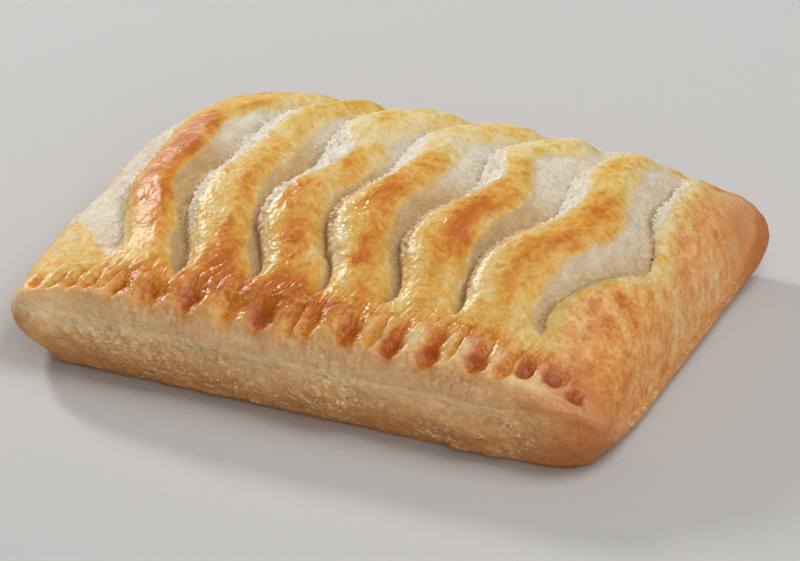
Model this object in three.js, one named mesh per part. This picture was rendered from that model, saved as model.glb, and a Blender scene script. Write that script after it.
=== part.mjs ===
// Chicken bake: a rectangular parcel of puff pastry baked in one piece.
// Millimetres, +Z up. X runs along the long side, Y along the short side,
// with the crimped front edge at -Y. The origin is the centre of the base.
import * as THREE from 'three';

// ---------------------------------------------------------------- sizes
const HALF_LENGTH = 72.5;        // half of the long side
const HALF_WIDTH = 51.0;         // half of the short side
// the four corners: front-left, front-right, back-right, back-left
const CORNER_POWER = [16.0, 11.0, 24.0, 8.0]; // roundness, higher is squarer
const CORNER_PULL = [[-1.0, -0.8], [0.2, -0.6], [-0.6, 4.2], [2.6, -2.2]]; // shift in x and y
const LEFT_SWELL = [2.1, 23.0, 13.0]; // outward swell of the left end: size, y of its middle, half width
const EDGE_BOW = { front: 0.6, back: 1.0, right: -0.2, left: 1.3 }; // outward bow at mid-side
// height of the lid's edge above the base
const CORNER_HEIGHT = [16.2, 15.0, 17.0, 13.3];
const SIDE_HEIGHT = { front: 19.5, back: 17.0, right: 5.0, left: 12.0 };
// the puffed lid
const CROWN_HEIGHT = 36.1;       // crown of the lid above the base
const CROWN_TILT = 3.3;          // more height towards the right end
const CROWN_SAG = -5.5;          // less height towards both ends
const RISE_FRONT = [45.0, 1.35]; // length and roundness of the rise from each edge
const RISE_BACK = [35.0, 2.19];
const RISE_RIGHT = [29.9, 2.90];
const RISE_LEFT = [40.2, 2.08];
const RISE_BACK_LEFT = -6.0;     // change of the back rise towards each end
const RISE_BACK_RIGHT = 15.6;
// the slashes: each foot line, where a ridge's steep left side starts, is
//   x = c + lean*y + bow*(y/40)^2 + (wave + growth*y/40) * sin(2 pi (y - start) / period)
const SLASH = [
  [-63.08, -0.15, 7.43, 0.27, -1.70, -34.28, 40.86],
  [-42.10, 0.03, 6.17, 0.40, -4.00, 5.71, 49.18],
  [-22.72, 0.00, 2.98, 1.97, -1.73, -3.54, 38.57],
  [-5.27, 0.04, 3.97, 1.96, -2.04, 36.14, 38.66],
  [15.46, 0.07, -0.20, 2.78, -1.37, 37.60, 40.40],
  [37.57, 0.13, -6.00, 2.73, -2.00, 34.99, 40.92],
  [61.59, 0.11, -6.00, 3.63, -0.87, -11.44, 44.90],
];
const SLASH_HOOK = [0.0, 7.0, 5.0, 6.0, 6.5, 2.5, -5.0]; // sideways bend at the back end
const SLASH_REACH = 42.0;        // the foot lines run from -this to +this
const SLASH_TIP = [16.5, 11.0, 12.0, 11.5, 13.5, 14.5, 16.5]; // front end of each slash, from the front edge
const SLASH_OPENING = 6.0;       // length over which a slash opens fully
const SLASH_BACK_GAP = [4.5, 10.5];  // the same from the back edge
const SLASH_DEPTH_FRONT = 3.8;   // how deep the stretched dough lies below the ridges
const SLASH_DEPTH_BACK = 5.0;
const LAST_SLASH_STEP = 0.62;    // the right end's step is this much of a full one
const LAST_SLASH_SLOPE = 1.5;    // and this many times as long
const FIRST_RIDGE_WIDTH = [14.0, 24.0]; // the strip left of the first slash, at the front and behind
const CLIFF_FRONT = 3.0;         // width of a ridge's steep left side
const CLIFF_BACK = 6.5;
const CREST_END = 0.40;          // where a ridge starts to fall, as a share of its width
const FLOOR_START = 0.84;        // where the stretched dough starts
// the crimped edges
const CRIMP_FIRST = -65.4;       // x of the first dent
const CRIMP_PITCH = 9.35;
const CRIMP_COUNT = 15;
const CRIMP_DRIFT = 0.7;         // uneven spacing
const CRIMP_INSET = 4.4;         // dent centre from the edge
const CRIMP_RADIUS = [3.3, 3.6]; // dent size along and across the edge
const CRIMP_DEPTH = 1.3;
// the wall under the lid
const BELLY = 1.6;               // outward bulge of the wall
const TUCK = { front: 1.4, back: 3.0, right: 1.7, left: 10.5 }; // how far the base is set in
const TUCK_FRONT_LEFT = 2.6;     // more of it at the front-left corner
const SHOULDER = { front: 4.8, back: 3.6, left: 2.6, right: 1.0 }; // rounding of the lid's edge
const WALL_ROWS = [0.14, 0.32, 0.54, 0.76, 0.92, 1.0];
// mesh density
const END_COLUMNS = 6;           // columns on each plain end
const RIDGE_COLUMNS = 9;         // columns on each ridge
const ROWS = 46;                 // rows from front to back

// ---------------------------------------------------------------- helpers
const clamp = (x, a, b) => Math.min(b, Math.max(a, x));
const lerp = (a, b, t) => a + (b - a) * t;
function smooth(a, b, x) {
  const q = clamp((x - a) / (b - a), 0, 1);
  return q * q * (3 - 2 * q);
}
// 0 at the edge, 1 once the distance passes the rise length
function rise(distance, [length, power]) {
  const q = clamp(1 - distance / length, 0, 1);
  return Math.pow(Math.max(0, 1 - Math.pow(q, power)), 1 / power);
}
// a value given at the four corners, spread over the square
function spread(S, T, [fl, fr, br, bl]) {
  const left = (1 - S) / 2, right = (1 + S) / 2, front = (1 - T) / 2, back = (1 + T) / 2;
  return fl * left * front + fr * right * front + br * right * back + bl * left * back;
}

// x of a slash's foot
function foot(k, y) {
  const [c, lean, bow, wave, growth, start, period] = SLASH[k];
  const v = clamp(y, -SLASH_REACH, SLASH_REACH);
  return c + lean * v + bow * (v / 40) ** 2
    + (wave + growth * v / 40) * Math.sin(2 * Math.PI * (v - start) / period)
    + SLASH_HOOK[k] * smooth(22, 42, v);
}

// footprint: a unit square (s, t) bent to the rounded rectangle
function footprint(s, t) {
  const power = spread(s, t, CORNER_POWER);
  const m = Math.max(Math.abs(s), Math.abs(t));
  const r = Math.pow(Math.abs(s) ** power + Math.abs(t) ** power, 1 / power);
  const k = r > 1e-9 ? 1 + (m / r - 1) * m ** 5 : 1;
  const S = s * k, T = t * k;
  const left = (1 - S) / 2, right = (1 + S) / 2, front = (1 - T) / 2, back = (1 + T) / 2;
  let x = HALF_LENGTH * S, y = HALF_WIDTH * T;
  [left * front, right * front, right * back, left * back].forEach((w, i) => {
    x += CORNER_PULL[i][0] * w * w;
    y += CORNER_PULL[i][1] * w * w;
  });
  x += (EDGE_BOW.right * right ** 3 - EDGE_BOW.left * left ** 3) * (1 - T * T);
  x -= LEFT_SWELL[0] * left ** 4 * Math.exp(-(((y - LEFT_SWELL[1]) / LEFT_SWELL[2]) ** 2));
  y += (EDGE_BOW.back * back ** 3 - EDGE_BOW.front * front ** 3) * (1 - S * S);
  return { x, y, S, T };
}

// height of the lid's edge
function edgeHeight(S, T) {
  const [fl, fr, br, bl] = CORNER_HEIGHT;
  return spread(S, T, CORNER_HEIGHT)
    + (SIDE_HEIGHT.right - (fr + br) / 2) * smooth(0.5, 1, S) * (1 - T ** 6)
    + (SIDE_HEIGHT.left - (fl + bl) / 2) * smooth(0.5, 1, -S) * (1 - T ** 6)
    + (SIDE_HEIGHT.front - (fl + fr) / 2) * smooth(0.4, 1, -T) * (1 - S ** 6)
    + (SIDE_HEIGHT.back - (bl + br) / 2) * smooth(0.4, 1, T) * (1 - S ** 6);
}

// how far the surface lies below the ridges, 0 on a crest and 1 in a slash
function slashDepth(x, y) {
  const q = (y + HALF_WIDTH) / (2 * HALF_WIDTH);
  const cliff = lerp(CLIFF_FRONT, CLIFF_BACK, smooth(0.35, 0.85, q));
  const up = (d) => Math.pow(Math.max(0, 1 - Math.pow(clamp(1 - d / cliff, 0, 1), 2.2)), 0.7);
  const feet = SLASH.map((_, k) => foot(k, y));
  let depth = 0;
  if (x >= feet[6]) {
    const v = clamp((x - feet[6]) / (cliff * LAST_SLASH_SLOPE), 0, 1);
    depth = Math.pow(1 - v, 1.8);
  } else {
    const k = feet.findIndex((f) => x < f);
    const f0 = k === 0 ? feet[0] - lerp(...FIRST_RIDGE_WIDTH, smooth(-30, -8, y)) : feet[k - 1];
    const u = (x - f0) / (feet[k] - f0);
    const fall = 1 - 0.88 * smooth(CREST_END, FLOOR_START, u) - 0.12 * smooth(0.75, 1, u);
    depth = 1 - (k === 0 ? 1 : up(x - f0)) * fall;
  }
  return depth * lerp(1, LAST_SLASH_STEP, smooth(-3, 1, x - feet[6]));
}

function lid(s, t) {
  const { x, y, S, T } = footprint(s, t);
  const fromFront = HALF_WIDTH * (1 + T), fromBack = HALF_WIDTH * (1 - T);
  const fromRight = HALF_LENGTH * (1 - S), fromLeft = HALF_LENGTH * (1 + S);
  const backRise = RISE_BACK[0] + RISE_BACK_LEFT * ((1 - S) / 2) ** 2 + RISE_BACK_RIGHT * ((1 + S) / 2) ** 2;
  const puff = rise(fromFront, RISE_FRONT) * rise(fromBack, [backRise, RISE_BACK[1]])
    * rise(fromRight, RISE_RIGHT) * rise(fromLeft, RISE_LEFT);
  const edge = edgeHeight(S, T);
  let z = edge + (CROWN_HEIGHT + CROWN_TILT * S + CROWN_SAG * S * S - edge) * puff;
  // slashes, which stop short of the crimped edges
  const tip = SLASH_TIP.reduce((d, own, k) => d + (own - d) * Math.exp(-(((x - foot(k, y)) / 8) ** 2)), SLASH_TIP[0]);
  const open = smooth(tip - 0.6, tip + SLASH_OPENING, fromFront) * smooth(...SLASH_BACK_GAP, fromBack);
  z -= lerp(SLASH_DEPTH_FRONT, SLASH_DEPTH_BACK, smooth(-20, 30, y)) * slashDepth(x, y) * open;
  // crimp dents along the front and back edges
  for (let i = 0; i < CRIMP_COUNT; i++) {
    const ax = (x - CRIMP_FIRST - CRIMP_PITCH * i - CRIMP_DRIFT * Math.sin(2.3 * i)) / CRIMP_RADIUS[0];
    if (Math.abs(ax) > 3) continue;
    for (const d of [fromFront, fromBack]) {
      const ay = (d - CRIMP_INSET) / CRIMP_RADIUS[1];
      z -= CRIMP_DEPTH * Math.exp(-ax * ax - ay * ay);
    }
  }
  // rounded shoulder along the lid's edge
  const rx = S < 0 ? SHOULDER.left : SHOULDER.right, ry = T < 0 ? SHOULDER.front : SHOULDER.back;
  const gx = clamp(1 - Math.min(fromLeft, fromRight) / rx, 0, 1), gy = clamp(1 - Math.min(fromFront, fromBack) / ry, 0, 1);
  const g = gx * gx + gy * gy;
  if (g > 0) z -= 0.9 * (gx * gx * rx + gy * gy * ry) / g * (1 - Math.sqrt(Math.max(0, 1 - Math.min(1, g))));
  return [x, y, Math.max(z, 2.4)];
}

// one step down the wall from a point on the lid's edge
function wall([x, y, z], w) {
  const nearEnd = Math.min(1.2, Math.abs(x) / HALF_LENGTH) ** 6 * Math.sign(x);
  const nearSide = Math.min(1.2, Math.abs(y) / HALF_WIDTH) ** 6 * Math.sign(y);
  const belly = BELLY * Math.sin(Math.PI * Math.min(1, w * 1.15));
  const tuck = w ** 2.2;
  return [
    x + nearEnd * (belly - (x > 0 ? TUCK.right : TUCK.left + TUCK_FRONT_LEFT * smooth(-32, -48, y)) * tuck),
    y + nearSide * (belly - (y > 0 ? TUCK.back : TUCK.front) * tuck),
    z * (1 - w),
  ];
}

// ---------------------------------------------------------------- mesh
// columns follow the slash foot lines, so each ridge keeps its crisp side
function columns(t) {
  const y = HALF_WIDTH * t;
  const knots = [-1, ...SLASH.map((_, k) => foot(k, y) / HALF_LENGTH), 1];
  const out = [];
  for (let k = 0; k < knots.length - 1; k++) {
    const plainEnd = k === 0 || k === knots.length - 2;
    const n = plainEnd ? END_COLUMNS : RIDGE_COLUMNS;
    for (let i = 0; i < n; i++) {
      const u = i / n;
      // closer columns just right of each foot
      const v = k === 0 ? u : lerp(u, u * u, plainEnd ? 0.35 : 0.3);
      out.push(lerp(knots[k], knots[k + 1], v));
    }
  }
  out.push(1);
  return out;
}

function bake() {
  const vertices = [], triangles = [];
  const add = (p) => vertices.push(p) - 1;
  const tri = (a, b, c) => triangles.push([a, b, c]);
  const quad = (a, b, c, d) => { tri(a, b, c); tri(a, c, d); };

  const grid = [];
  for (let j = 0; j <= ROWS; j++) {
    const u = j / ROWS;
    const t = 2 * u - 1 + 0.10 * Math.sin(2 * Math.PI * u) * -1; // closer rows near both long edges
    grid.push(columns(clamp(t, -1, 1)).map((s) => add(lid(s, clamp(t, -1, 1)))));
  }
  const N = grid[0].length - 1;
  for (let j = 0; j < ROWS; j++) {
    for (let i = 0; i < N; i++) quad(grid[j][i], grid[j][i + 1], grid[j + 1][i + 1], grid[j + 1][i]);
  }
  // the lid's edge, counter-clockwise seen from above
  const loop = [];
  for (let i = 0; i < N; i++) loop.push(grid[0][i]);
  for (let j = 0; j < ROWS; j++) loop.push(grid[j][N]);
  for (let i = N; i > 0; i--) loop.push(grid[ROWS][i]);
  for (let j = ROWS; j > 0; j--) loop.push(grid[j][0]);

  let above = loop;
  for (const w of WALL_ROWS) {
    const below = loop.map((v) => add(wall(vertices[v], w)));
    for (let i = 0; i < loop.length; i++) {
      const n = (i + 1) % loop.length;
      quad(above[i], below[i], below[n], above[n]);
    }
    above = below;
  }
  // flat base
  const middle = add([0, 0, 0]);
  for (let i = 0; i < above.length; i++) tri(above[(i + 1) % above.length], above[i], middle);

  // centre the footprint on the origin
  const box = new THREE.Box3().setFromPoints(vertices.map((p) => new THREE.Vector3(...p)));
  const cx = (box.min.x + box.max.x) / 2, cy = (box.min.y + box.max.y) / 2;
  const geometry = new THREE.BufferGeometry();
  geometry.setAttribute('position', new THREE.Float32BufferAttribute(
    vertices.flatMap(([x, y, z]) => [x - cx, y - cy, z]), 3));
  geometry.setIndex(triangles.flat());
  geometry.computeVertexNormals();
  return geometry;
}

// ---------------------------------------------------------------- object
const crust = new THREE.MeshStandardMaterial({ color: 0xcf9a58, roughness: 0.5, metalness: 0 });
const mesh = new THREE.Mesh(bake(), crust);
mesh.name = 'bake';

const chickenBake = new THREE.Group();
chickenBake.name = 'chicken_bake';
chickenBake.add(mesh);

export default chickenBake;
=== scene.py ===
"""Looks of the chicken bake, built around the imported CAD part.

One closed mesh replaces the plain CAD solid. Lengths inside the shape
functions are millimetres, and become metres when the mesh is written.
"""
import bpy
import math
import numpy as np
from mathutils import Matrix, Vector


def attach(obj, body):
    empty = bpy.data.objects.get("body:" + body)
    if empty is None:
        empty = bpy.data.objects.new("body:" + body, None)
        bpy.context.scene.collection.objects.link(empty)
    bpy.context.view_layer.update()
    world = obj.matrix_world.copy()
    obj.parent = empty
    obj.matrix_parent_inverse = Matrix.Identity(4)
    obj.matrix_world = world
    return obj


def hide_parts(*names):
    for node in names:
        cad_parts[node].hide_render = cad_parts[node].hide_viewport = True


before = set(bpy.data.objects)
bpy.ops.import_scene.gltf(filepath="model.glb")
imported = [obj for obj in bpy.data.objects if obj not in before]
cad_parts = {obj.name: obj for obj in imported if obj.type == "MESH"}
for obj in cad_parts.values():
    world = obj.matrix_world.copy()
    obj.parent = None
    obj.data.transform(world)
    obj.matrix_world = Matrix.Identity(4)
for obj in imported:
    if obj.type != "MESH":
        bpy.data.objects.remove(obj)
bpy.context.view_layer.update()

PI = math.pi

# ------------------------------------------------------------------ sizes
A, B = 72.5, 51.0                       # half length, half width
CORNER_POWER = (16.0, 11.0, 24.0, 8.0)  # front-left, front-right, back-right, back-left
CORNER_PULL = ((-1.0, -0.8), (0.2, -0.6), (-0.6, 4.2), (2.6, -2.2))
BOW = dict(front=0.6, back=1.0, right=-0.2, left=1.3)
CORNER_HEIGHT = (16.2, 15.0, 17.0, 13.3)
SIDE_HEIGHT = dict(front=19.5, back=17.0, right=5.0, left=12.0)
CROWN, TILT, SAG = 36.1, 3.3, -5.5
RISE_F, RISE_B, RISE_R, RISE_L = (45.0, 1.35), (35.0, 2.19), (29.9, 2.9), (40.2, 2.08)
RISE_BL, RISE_BR = -6.0, 15.6
SLASH = (
    (-63.08, -0.15, 7.43, 0.27, -1.7, -34.28, 40.86),
    (-42.1, 0.03, 6.17, 0.4, -4.0, 5.71, 49.18),
    (-22.72, 0.0, 2.98, 1.97, -1.73, -3.54, 38.57),
    (-5.27, 0.04, 3.97, 1.96, -2.04, 36.14, 38.66),
    (15.46, 0.07, -0.2, 2.78, -1.37, 37.6, 40.4),
    (37.57, 0.13, -6.0, 2.73, -2.0, 34.99, 40.92),
    (61.59, 0.11, -6.0, 3.63, -0.87, -11.44, 44.9),
)
TUCK = dict(front=1.4, back=3.0, right=1.7, left=10.5)
BELLY = 1.6

# ------------------------------------------------------------------ helpers
def sm(a, b, x):
    q = np.clip((x - a) / (b - a), 0, 1)
    return q * q * (3 - 2 * q)


def lerp(a, b, t):
    return a + (b - a) * t


def rise(d, length, power):
    q = np.clip(1 - d / length, 0, 1)
    return np.maximum(0, 1 - q ** power) ** (1 / power)


_rng = np.random.default_rng(41)
_perm = np.tile(_rng.permutation(256), 3)
_grad = _rng.normal(size=(256, 3))
_grad /= np.linalg.norm(_grad, axis=1)[:, None]


def noise(x, y, z):
    """gradient noise, about -0.7 to 0.7"""
    x, y, z = np.broadcast_arrays(x, y, z)
    ix, iy, iz = (np.floor(v).astype(np.int64) for v in (x, y, z))
    fx, fy, fz = x - ix, y - iy, z - iz
    ix, iy, iz = ix & 255, iy & 255, iz & 255
    f = lambda t: t * t * t * (t * (t * 6 - 15) + 10)
    u, v, w = f(fx), f(fy), f(fz)

    def g(a, b, c):
        h = _perm[_perm[_perm[ix + a] + iy + b] + iz + c]
        k = _grad[h]
        return k[..., 0] * (fx - a) + k[..., 1] * (fy - b) + k[..., 2] * (fz - c)

    x00 = lerp(g(0, 0, 0), g(1, 0, 0), u)
    x10 = lerp(g(0, 1, 0), g(1, 1, 0), u)
    x01 = lerp(g(0, 0, 1), g(1, 0, 1), u)
    x11 = lerp(g(0, 1, 1), g(1, 1, 1), u)
    return 1.3 * lerp(lerp(x00, x10, v), lerp(x01, x11, v), w)


def fbm(x, y, z, octaves=3, gain=0.5):
    out, amp, f = 0, 1.0, 1.0
    for i in range(octaves):
        out = out + amp * noise(x * f + 17.3 * i, y * f - 9.1 * i, z * f + 3.7 * i)
        amp *= gain
        f *= 2.03
    return out


# ------------------------------------------------------------------ lid
STATIONS = (-36.0, 8.0)                 # first station along y, and the pitch
# width of stretched, unglazed dough to the left and right of each slash foot
PALE_LEFT = {
    1: (4.0, 5.0, 3.4, 5.0, 8.0, 8.0, 7.0, 7.6, 6.5, 3.5),
    2: (2.0, 4.0, 2.0, 2.6, 5.5, 6.0, 4.8, 4.0, 4.3, 3.0),
    3: (1.2, 1.4, 1.0, 1.5, 3.5, 3.5, 2.6, 3.0, 3.8, 3.0),
    4: (1.5, 3.0, 3.4, 4.6, 7.2, 7.6, 6.8, 5.5, 5.5, 3.5),
    5: (1.5, 1.8, 1.8, 4.6, 7.2, 7.4, 7.2, 8.8, 8.5, 4.5),
    6: (4.0, 3.8, 5.4, 8.6, 9.0, 8.2, 6.6, 5.5, 6.6, 7.0),
}
PALE_RIGHT = {
    0: (0.8, 0.9, 1.0, 1.5, 2.5, 3.0, 3.5, 3.5, 3.5, 3.5),
    1: (1.0, 1.2, 2.5, 3.6, 4.8, 5.6, 6.6, 7.5, 6.0, 3.0),
    2: (0.6, 1.0, 2.0, 4.0, 5.2, 7.0, 9.5, 4.5, 3.0, 2.5),
    3: (0.6, 0.9, 1.8, 3.2, 3.8, 4.6, 6.4, 5.8, 4.0, 2.5),
    4: (0.6, 0.9, 2.3, 3.7, 3.2, 4.6, 7.0, 5.0, 3.4, 2.5),
    5: (0.7, 1.3, 2.8, 4.5, 4.0, 4.3, 6.0, 5.4, 4.6, 3.0),
    6: (0.8, 1.0, 1.5, 1.4, 0.5, 0.6, 1.2, 3.0, 2.5, 2.5),
}
TIP = (16.5, 11.0, 12.0, 11.5, 13.5, 14.5, 16.5)   # front end of each slash, from the front edge
HOOK = (0.0, 7.0, 5.0, 6.0, 6.5, 2.5, -5.0)        # sideways bend of each slash at its back end
# on the torn sides and slash floors, the tan of the front half is partly the dough's own colour and partly painted
# shade
FROST_FROM = (-60.0, -20.0, -20.0, -16.0, 0.0, 4.0, -2.0, 8.0)   # where each torn side turns from tan to white
CHALK_FROM = (0.0, 12.0, 15.0, 9.0, 6.0, 7.0, 0.0)   # where each slash floor turns from tan to white
SHOULDER = dict(front=4.8, back=3.6, left=2.6, right=1.0)

# browned blotches: x, y, half width, half length, strength
BLOTCHES = (
    (-53, 12, 4, 11, 0.22), (-51, 5, 2.5, 5, 0.20), (-57, -5, 3, 8, 0.16), (-50.5, -14, 3, 8, 0.24), (-47, -21, 2.2, 5, 0.14),
    (-30, -2, 2.4, 9, 0.12), (-30.5, -12, 2.6, 6, 0.16), (-28.5, -25, 3, 8, 0.30), (-25, -31, 3, 5, 0.26), (-34, 21, 5, 13, -0.16),
    (-12, 27, 2, 4, 0.22), (-11, 3, 2.5, 7, 0.18), (-17, -10, 4, 6, 0.16), (-14, -20, 4, 7, 0.24), (-10.5, -27, 2.6, 5, 0.30), (-13, 17, 4, 7, -0.14),
    (7, 11, 3, 5, 0.18), (3, -2, 4, 6, 0.32), (-1, -10, 4, 6, 0.26), (6, -18, 3, 8, 0.18), (4, -28, 2, 2.4, 0.40), (7, -24, 3, 6, 0.18), (6, 22, 4, 7, -0.16),
    (28, 21, 1.8, 5, 0.22), (27, 8, 3, 6, 0.24), (25, -3, 4, 5, 0.32), (24, -10, 3.6, 6, 0.42), (25, -17, 3, 5, 0.30), (22, 28, 4, 6, -0.12),
    (46, 28, 3, 6, 0.22), (51, 8, 3, 9, 0.26), (48, -8, 4, 4, 0.28), (43, -13, 3, 4, 0.26), (42, -20, 4, 5, 0.10), (37, -26, 4, 6, -0.10),
    (-24, -38, 6, 5, 0.40), (-8, -38, 6, 5, 0.42), (8, -42, 6, 3.5, 0.16), (37, -42, 9, 3, 0.16), (56, -42, 8, 3, 0.22), (-52, -37, 6, 4, -0.12), (6, -37, 4, 3, -0.14), (19, -37, 3, 4, -0.16), (46, -36, 7, 4, -0.12), (-54, 17, 4, 7, 0.20), (-57, 4, 4, 14, 0.12), (-11, -4, 4, 6, -0.12), (-10, 16, 6, 9, -0.04), (-31, -8, 4, 10, -0.10), (-17, -18, 4, 8, -0.12), (-14, 1, 3, 6, -0.12), (-1, -19, 3, 7, -0.14), (21, -2, 2.5, 6, -0.10), (26, 4, 3, 6, -0.12), (42, -2, 3, 12, -0.12), (-32, -20, 2.5, 6, -0.16), (-35, 2, 3, 8, -0.06), (-66, -24, 9, 9, -0.08), (-55, -30, 4, 6, 0.14), (-58, 14, 3, 14, 0.10),
    (64, -44, 6, 4, 0.22), (62, -14, 2.4, 2, 0.26), (61, -21, 2.2, 1.8, 0.16), (-64, -32, 8, 10, -0.06), (-62, -14, 5, 6, 0.10), (-34, -12, 2.5, 9, -0.12), (-3, -9, 2.6, 7, -0.14), (68, 30, 6, 12, 0.12), (-9, -43, 13, 4.5, 0.20), (-3, -37, 3, 5, 0.14), (14, -36, 3, 6, 0.16),
)


# thick, shiny egg wash: x, y, half width, half length, strength
WET = (
    (-53, -12, 3.0, 6, 0.05), (-55, -25, 5, 7, -0.14), (-50, 0, 7, 20, -0.10), (-33, -24, 3, 8, 0.1), (-20, -12, 3, 8, 0.25), (-12, 18, 4, 8, 0.4),
    (0, -14, 3.5, 9, 0.6), (-14, -30, 4, 6, 0.2), (22, -4, 4, 8, 0.2),
)


def along(table, y):
    """smooth reading of a table of stations"""
    v = np.asarray(table)
    q = np.clip((y - STATIONS[0]) / STATIONS[1], 0, len(v) - 1.0001)
    i = q.astype(int)
    f = q - i
    a, b, c, d = v[np.maximum(i - 1, 0)], v[i], v[i + 1], v[np.minimum(i + 2, len(v) - 1)]
    return b + 0.5 * f * (c - a + f * (2 * a - 5 * b + 4 * c - d + f * (3 * (b - c) + d - a)))


def foot(k, y):
    c, lean, bow, wave, growth, start, period = SLASH[k]
    v = np.clip(y, -42, 42)
    return (c + lean * v + bow * (v / 40) ** 2 + (wave + growth * v / 40) * np.sin(2 * PI * (v - start) / period)
            + HOOK[k] * sm(22, 42, v))


def wob_(x, y, z):
    return noise(x * 0.30, y * 0.30, z * 0.30 + 71.0) + 0.5 * noise(x * 0.9, y * 0.9, z * 0.9 + 31.0)


def spread(s, t, q):
    return (q[0] * (1 - s) * (1 - t) + q[1] * (1 + s) * (1 - t) + q[2] * (1 + s) * (1 + t) + q[3] * (1 - s) * (1 + t)) / 4


def footprint(s, t):
    n = spread(s, t, CORNER_POWER)
    m = np.maximum(np.abs(s), np.abs(t))
    r = (np.abs(s) ** n + np.abs(t) ** n) ** (1 / n)
    k = 1 + (m / np.maximum(r, 1e-9) - 1) * m ** 5
    S, T = s * k, t * k
    l, r_, f, b = (1 - S) / 2, (1 + S) / 2, (1 - T) / 2, (1 + T) / 2
    x, y = A * S, B * T
    for w, (px, py) in zip((l * f, r_ * f, r_ * b, l * b), CORNER_PULL):
        x = x + px * w * w
        y = y + py * w * w
    x = x + (BOW["right"] * r_ ** 3 - BOW["left"] * l ** 3) * (1 - T * T)
    x = x - 2.1 * l ** 4 * np.exp(-((y - 23) / 13.0) ** 2)
    y = y + (BOW["back"] * b ** 3 - BOW["front"] * f ** 3) * (1 - S * S)
    return x, y, S, T


def edge_height(S, T):
    fl, fr, br, bl = CORNER_HEIGHT
    return (spread(S, T, CORNER_HEIGHT)
            + (SIDE_HEIGHT["right"] - (fr + br) / 2) * sm(0.5, 1, S) * (1 - T ** 6)
            + (SIDE_HEIGHT["left"] - (fl + bl) / 2) * sm(0.5, 1, -S) * (1 - T ** 6)
            + (SIDE_HEIGHT["front"] - (fl + fr) / 2) * sm(0.4, 1, -T) * (1 - S ** 6)
            + (SIDE_HEIGHT["back"] - (bl + br) / 2) * sm(0.4, 1, T) * (1 - S ** 6))


# crimp dents: x, inset from the edge, half size along and across, depth, browning, lean
CRIMPS = [(-66.5, 5.2, 1.6, 2.2, 0.8, 0.42, 0.20), (-62.2, 5.6, 1.2, 2.4, 0.8, 0.34, 0.28), (-58.0, 5.4, 1.6, 2.5, 1.0, 0.42, 0.26), (-53.6, 5.8, 1.3, 2.5, 0.9, 0.32, 0.28), (-50.0, 6.2, 1.0, 2.8, 0.7, 0.12, 0.45), (-46.0, 5.2, 1.9, 2.6, 1.2, 0.42, 0.22),
          (-37.7, 4.6, 2.7, 2.8, 1.3, 0.32, 0.08), (-28.3, 4.8, 2.6, 3.0, 1.4, 0.44, 0.05), (-18.5, 4.4, 3.3, 2.9, 1.2, 0.22, -0.05),
          (-10.2, 4.6, 2.9, 2.9, 1.5, 0.52, 0.00), (-3.0, 4.2, 1.6, 2.6, 0.8, 0.20, 0.10), (1.2, 4.6, 1.9, 2.8, 0.9, 0.26, 0.15),
          (11.2, 4.9, 2.9, 2.9, 1.4, 0.58, 0.08), (17.0, 5.2, 1.5, 2.6, 0.5, 0.10, 0.25), (21.9, 4.3, 2.8, 2.6, 1.4, 0.56, 0.14), (31.1, 4.1, 3.0, 2.6, 1.5, 0.60, 0.12),
          (36.2, 5.8, 1.0, 2.4, 0.4, 0.02, 0.25), (42.4, 5.0, 2.8, 2.4, 1.3, 0.50, 0.16), (49.0, 5.6, 2.0, 2.6, 0.8, 0.26, 0.20), (53.4, 7.8, 2.3, 2.4, 1.2, 0.58, 0.14),
          (60.0, 9.0, 2.3, 2.3, 1.0, 0.74, 0.10), (65.8, 7.8, 2.2, 2.1, 0.8, 0.74, 0.0)]
BACK_CRIMPS = [(-66.0 + 9.2 * i + 0.8 * math.sin(2.1 * i), 4.6 + 0.4 * math.sin(3.1 * i), 2.9, 3.3, 1.8 + 0.4 * math.sin(1.7 * i), 0.25, -0.1) for i in range(15)]


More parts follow.
